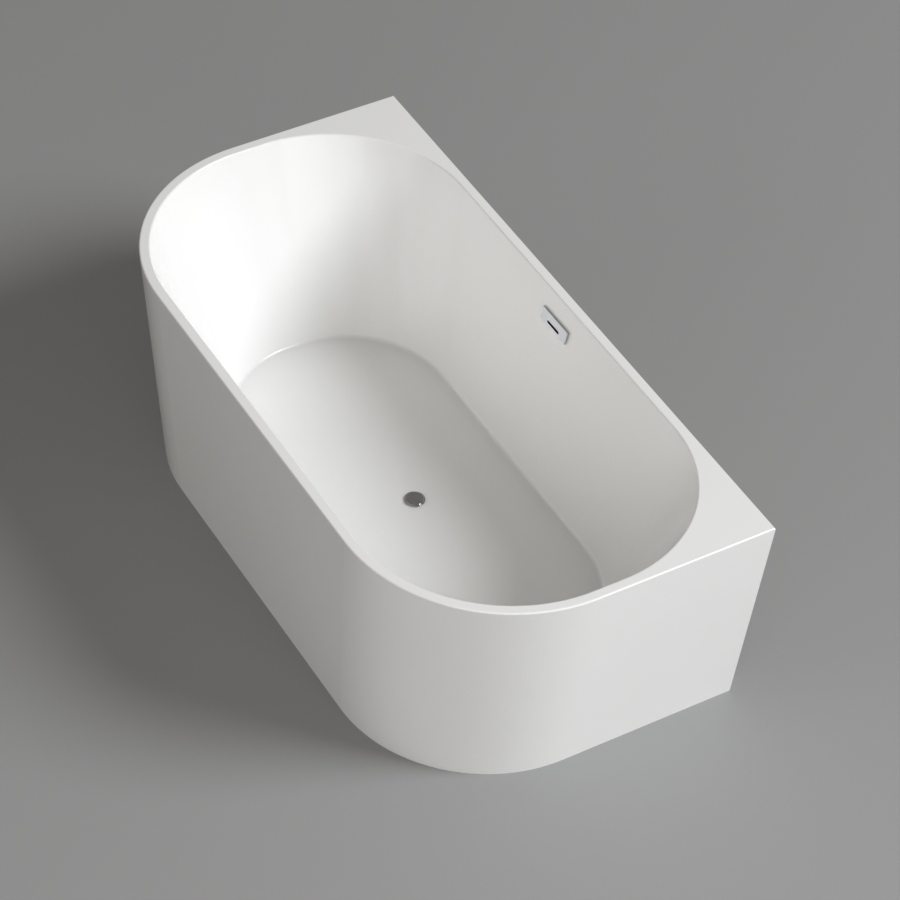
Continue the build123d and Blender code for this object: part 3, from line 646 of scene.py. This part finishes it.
# %% Assign the finishes
finish_of_slot = {
    "acrylic": bowl_acrylic,
    "laminate": laminate,
    "board": chipboard,
    "zinc_steel": steel_along_y,
    "bolt_steel": plated_steel,
    "chrome": chrome,
    "brass": brass,
    "white_plastic": white_plastic,
    "black_plastic": black_plastic,
    "rubber": rubber,
}
finish_of_node = {
    "outer_skirt": skirt_acrylic,
    "end_strut_left": steel_along_x,
    "end_strut_right": steel_along_x,
    "skirt_brackets": steel_along_x,
    "wall_bracket_left": steel_along_x,
    "wall_bracket_right": steel_along_x,
}


def set_finish(thing, material):
    thing.data.materials.clear()
    thing.data.materials.append(material)


slot_of_node = {row["node"]: row["material_slot"] for row in frame["record"]["subparts"]}
for name, thing in nodes.items():
    set_finish(thing, finish_of_node.get(name, finish_of_slot[slot_of_node[name]]))
print(len(slot_of_node), "parts have a finish")

# %% [markdown]
# ## Threads on the feet
#
# Each foot is an M12 rod that is screwed up or down through a nut under its bar. A thread is one small
# tooth that climbs as it goes round. The spin operator does exactly that: it turns a profile round an
# axis and, with a shift per step, lifts it too. The profile here is one tooth, and the turns are merged
# where they meet. Two level cuts give the bar its length, and the holes they leave are filled.

# %% Spin a thread
thread_radius = 0.00595
thread_root = 0.0051
thread_pitch = 0.00175
thread_flank = 0.42 * thread_pitch
thread_crest = 0.12 * thread_pitch
thread_sides = 20
merge_distance = 0.000002


def trim_level(bm, level, upward):
    """Cuts everything beyond a level plane away."""
    every = bm.verts[:] + bm.edges[:] + bm.faces[:]
    normal = (0, 0, 1 if upward else -1)
    bmesh.ops.bisect_plane(bm, geom=every, plane_co=(0, 0, level), plane_no=normal, clear_outer=True)


def open_edges(bm):
    """How many edges of a mesh have a face on one side only."""
    return sum(edge.is_boundary for edge in bm.edges)


def spin_thread(low, high):
    """A closed threaded bar round the Z axis."""
    bm = bmesh.new()
    teeth = ((thread_root, 0.0), (thread_radius, thread_flank), (thread_radius, thread_flank + thread_crest),
             (thread_root, 2 * thread_flank + thread_crest), (thread_root, thread_pitch))
    points = [bm.verts.new((radius, 0.0, low - thread_pitch + rise)) for radius, rise in teeth]
    edges = [bm.edges.new(pair) for pair in zip(points, points[1:])]
    turns = math.ceil((high - low) / thread_pitch) + 1
    bmesh.ops.spin(bm, geom=points + edges, axis=(0, 0, 1), cent=(0, 0, 0), angle=2 * math.pi * turns,
                   steps=turns * thread_sides, dvec=(0, 0, thread_pitch / thread_sides), use_merge=False)
    bmesh.ops.remove_doubles(bm, verts=bm.verts, dist=merge_distance)
    trim_level(bm, low, False)
    trim_level(bm, high, True)
    rims = [edge for edge in bm.edges if edge.is_boundary]
    bmesh.ops.holes_fill(bm, edges=rims, sides=0)
    bmesh.ops.recalc_face_normals(bm, faces=bm.faces)
    return bm


test_thread = spin_thread(0.0, 0.02)
print("20 mm of thread:", len(test_thread.faces), "faces,", open_edges(test_thread), "open edges")
test_thread.free()

# %% [markdown]
# ## Rods
#
# Below the thread the rod is plain, so that it can turn in its pad, and carries a hexagon for the
# spanner. The hexagon's edges are broken with a small bevel, and the thread's tip is tapered so that the
# nut finds it.

# %% Build the five rods
shank_radius = 0.0059
hexagon_flats = 0.017
hexagon_low = 0.020
hexagon_high = 0.028
hexagon_edge = 0.0006
hexagon_turn = math.radians(30)
tip_taper = 0.001
shank_sides = 32
smooth_angle = math.radians(30)
foot_numbers = range(1, 6)


def new_fastener(name, bm, body, stands_for):
    """Turns a bmesh into a plated object that replaces a part and rides on its body."""
    mesh = bpy.data.meshes.new(name)
    bm.to_mesh(mesh)
    bm.free()
    for face in mesh.polygons:
        face.use_smooth = True
    mesh.set_sharp_from_angle(angle=smooth_angle)
    piece = bpy.data.objects.new(name, mesh)
    bpy.context.collection.objects.link(piece)
    set_finish(piece, plated_steel)
    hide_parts(stands_for)
    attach(piece, body)
    return piece


def add_cylinder(bm, radius, low, high, sides, turn=0.0):
    """A closed upright cylinder; returns its vertices."""
    middle = Matrix.Translation((0, 0, (low + high) / 2)) @ Matrix.Rotation(turn, 4, "Z")
    made = bmesh.ops.create_cone(bm, segments=sides, radius1=radius, radius2=radius, depth=high - low,
                                 cap_ends=True, matrix=middle)
    return made["verts"]


def taper_tip(bm, tip):
    """Draws the last millimetre of a bar in towards its end."""
    for vert in bm.verts:
        room = shank_radius - (vert.co.z - (tip - tip_taper))
        reach = math.hypot(vert.co.x, vert.co.y)
        if vert.co.z > tip - tip_taper and reach > room:
            vert.co.x *= room / reach
            vert.co.y *= room / reach


def make_rod(number):
    """One foot's rod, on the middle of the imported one."""
    low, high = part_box(f"foot_rod_{number}")
    bm = spin_thread(hexagon_high - thread_pitch, high[2])
    taper_tip(bm, high[2])
    add_cylinder(bm, shank_radius, low[2], hexagon_low + tip_taper, shank_sides)
    corner_radius = hexagon_flats / math.sqrt(3)
    hexagon = add_cylinder(bm, corner_radius, hexagon_low, hexagon_high, 6, hexagon_turn)
    rims = {edge for vert in hexagon for edge in vert.link_edges}
    bmesh.ops.bevel(bm, geom=list(rims), offset=hexagon_edge, offset_type="OFFSET", segments=2, profile=0.5,
                    affect="EDGES", material=-1)
    centre = ((low[0] + high[0]) / 2, (low[1] + high[1]) / 2, 0)
    bmesh.ops.translate(bm, verts=bm.verts, vec=centre)
    return new_fastener(f"threaded_rod_{number}", bm, f"foot_{number}_rod", f"foot_rod_{number}")


rods = [make_rod(number) for number in foot_numbers]
print(len(rods), "rods,", len(rods[0].data.polygons), "faces each")

# %% [markdown]
# ## Screws
#
# The boards and brackets are held by round-headed screws with a cross recess. One screw is made once: a
# ring of edges is extruded step by step over the head, drawn into a cross, and pushed down into the
# recess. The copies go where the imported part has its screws. A part with many screws is one mesh, so its
# loose pieces are found by walking along the edges, and each piece's box tells where its head is.


# %% Find the loose pieces of a part
def loose_pieces(thing):
    """The points of each separate solid in one part."""
    bm = bmesh.new()
    bm.from_mesh(thing.data)
    bmesh.ops.remove_doubles(bm, verts=bm.verts, dist=merge_distance)
    left = set(bm.verts)
    found = []
    while left:
        front = [left.pop()]
        points = []
        while front:
            vert = front.pop()
            points.append(vert.co.copy())
            near = [edge.other_vert(vert) for edge in vert.link_edges]
            fresh = [other for other in near if other in left]
            left.difference_update(fresh)
            front.extend(fresh)
        found.append(points)
    bm.free()
    return found


print("screws under the boards:", len(loose_pieces(nodes["board_screws"])))

# %% Model one screw
head_radius = 0.005
head_height = 0.003
screw_shank_radius = 0.0024
head_steps = ((1.0, 0.45), (0.94, 0.72), (0.80, 0.92), (0.62, 1.0))
cross_length = 0.0026
cross_half_width = 0.0007
cross_depth = 0.0016
cross_taper = 0.7
head_sides = 24
smallest_share = 0.001


def next_ring(bm, ring):
    """Extrudes a ring of edges and returns the new one."""
    made = bmesh.ops.extrude_edge_only(bm, edges=ring)["geom"]
    return [item for item in made if isinstance(item, bmesh.types.BMEdge)]


def ring_points(ring):
    """The points of a ring of edges, each once."""
    return {vert for edge in ring for vert in edge.verts}


def cross_reach(angle):
    """How far the cross reaches from its middle in one direction."""
    across = max(abs(math.cos(angle)), smallest_share)
    along = max(abs(math.sin(angle)), smallest_share)
    level_arm = min(cross_length / across, cross_half_width / along)
    upright_arm = min(cross_half_width / across, cross_length / along)
    return max(level_arm, upright_arm)


def draw_cross(ring, height):
    """Moves a ring's points onto the cross, at one height."""
    for vert in ring_points(ring):
        angle = math.atan2(vert.co.y, vert.co.x)
        reach = cross_reach(angle)
        vert.co = Vector((reach * math.cos(angle), reach * math.sin(angle), height))


def model_screw(depth):
    """A screw along +Z; its head's underside is at zero and its recess faces down."""
    bm = bmesh.new()
    bmesh.ops.create_circle(bm, cap_ends=True, segments=head_sides, radius=head_radius)
    ring = bm.edges[:]
    for share, down in head_steps:
        ring = next_ring(bm, ring)
        for vert in ring_points(ring):
            flat = Vector((vert.co.x, vert.co.y)).normalized() * head_radius * share
            vert.co = Vector((flat.x, flat.y, -head_height * down))
    ring = next_ring(bm, ring)
    draw_cross(ring, -head_height)
    ring = next_ring(bm, ring)
    for vert in ring_points(ring):
        vert.co = Vector((vert.co.x * cross_taper, vert.co.y * cross_taper, cross_depth - head_height))
    bmesh.ops.edgeloop_fill(bm, edges=ring)
    bmesh.ops.recalc_face_normals(bm, faces=bm.faces)
    add_cylinder(bm, screw_shank_radius, 0.0, depth, head_sides)
    return bm


test_screw = model_screw(0.02)
print("one screw:", len(test_screw.faces), "faces,", open_edges(test_screw), "open edges")
test_screw.free()


# %% Put a screw where each one is
def place_of_screw(points):
    """Where a screw's head sits, which way its shank runs, and how deep."""
    low = Vector([min(point[axis] for point in points) for axis in range(3)])
    high = Vector([max(point[axis] for point in points) for axis in range(3)])
    size = high - low
    axis = max(range(3), key=lambda each: size[each])
    middle = (low + high) / 2

    def spread(end):
        near = [point for point in points if abs(point[axis] - end) < head_height / 2]
        return max((point - middle).length_squared - (point[axis] - middle[axis]) ** 2 for point in near)

    head_is_low = spread(low[axis]) > spread(high[axis])
    direction = Vector((0, 0, 0))
    direction[axis] = 1.0 if head_is_low else -1.0
    start = middle.copy()
    start[axis] = low[axis] + head_height if head_is_low else high[axis] - head_height
    return start, direction, size[axis] - head_height


def make_screws(node):
    """All the screws of one part, as one object."""
    bm = bmesh.new()
    for points in loose_pieces(nodes[node]):
        start, direction, depth = place_of_screw(points)
        single = model_screw(depth)
        upright = direction.to_track_quat("Z", "Y").to_matrix().to_4x4()
        bmesh.ops.transform(single, matrix=Matrix.Translation(start) @ upright, verts=single.verts)
        carrier = bpy.data.meshes.new("carrier")
        single.to_mesh(carrier)
        single.free()
        bm.from_mesh(carrier)
        bpy.data.meshes.remove(carrier)
    return new_fastener(node.replace("screws", "cross_screws"), bm, "bath", node)


screw_parts = ("board_screws", "block_screws", "deck_board_screws")
screw_groups = [make_screws(node) for node in screw_parts]
print([(group.name, len(group.data.polygons)) for group in screw_groups])

# %% [markdown]
# ## The floor
#
# The bath stands on a plain grey floor without a visible edge. It keeps the bath's shadow, and its grey
# is the background too.

# %% Lay the floor
floor_half = 14.0
floor_grey = tint(159, 159, 159)


def make_floor():
    material, tree, shader, place = start_material("floor")
    shader.inputs["Base Color"].default_value = floor_grey
    marks = use_group(tree, handling_marks, place, {"Scale": 2.0, "Dullness": 0.85, "Spread": 0.05})
    tree.links.new(marks.outputs["Roughness"], shader.inputs["Roughness"])
    shader.inputs["Specular IOR Level"].default_value = 0.2
    mesh = bpy.data.meshes.new("floor")
    bm = bmesh.new()
    bmesh.ops.create_grid(bm, x_segments=1, y_segments=1, size=floor_half)
    bm.to_mesh(mesh)
    bm.free()
    floor = bpy.data.objects.new("floor", mesh)
    bpy.context.collection.objects.link(floor)
    set_finish(floor, material)
    return floor


floor = make_floor()
print("floor", 2 * floor_half, "m wide")
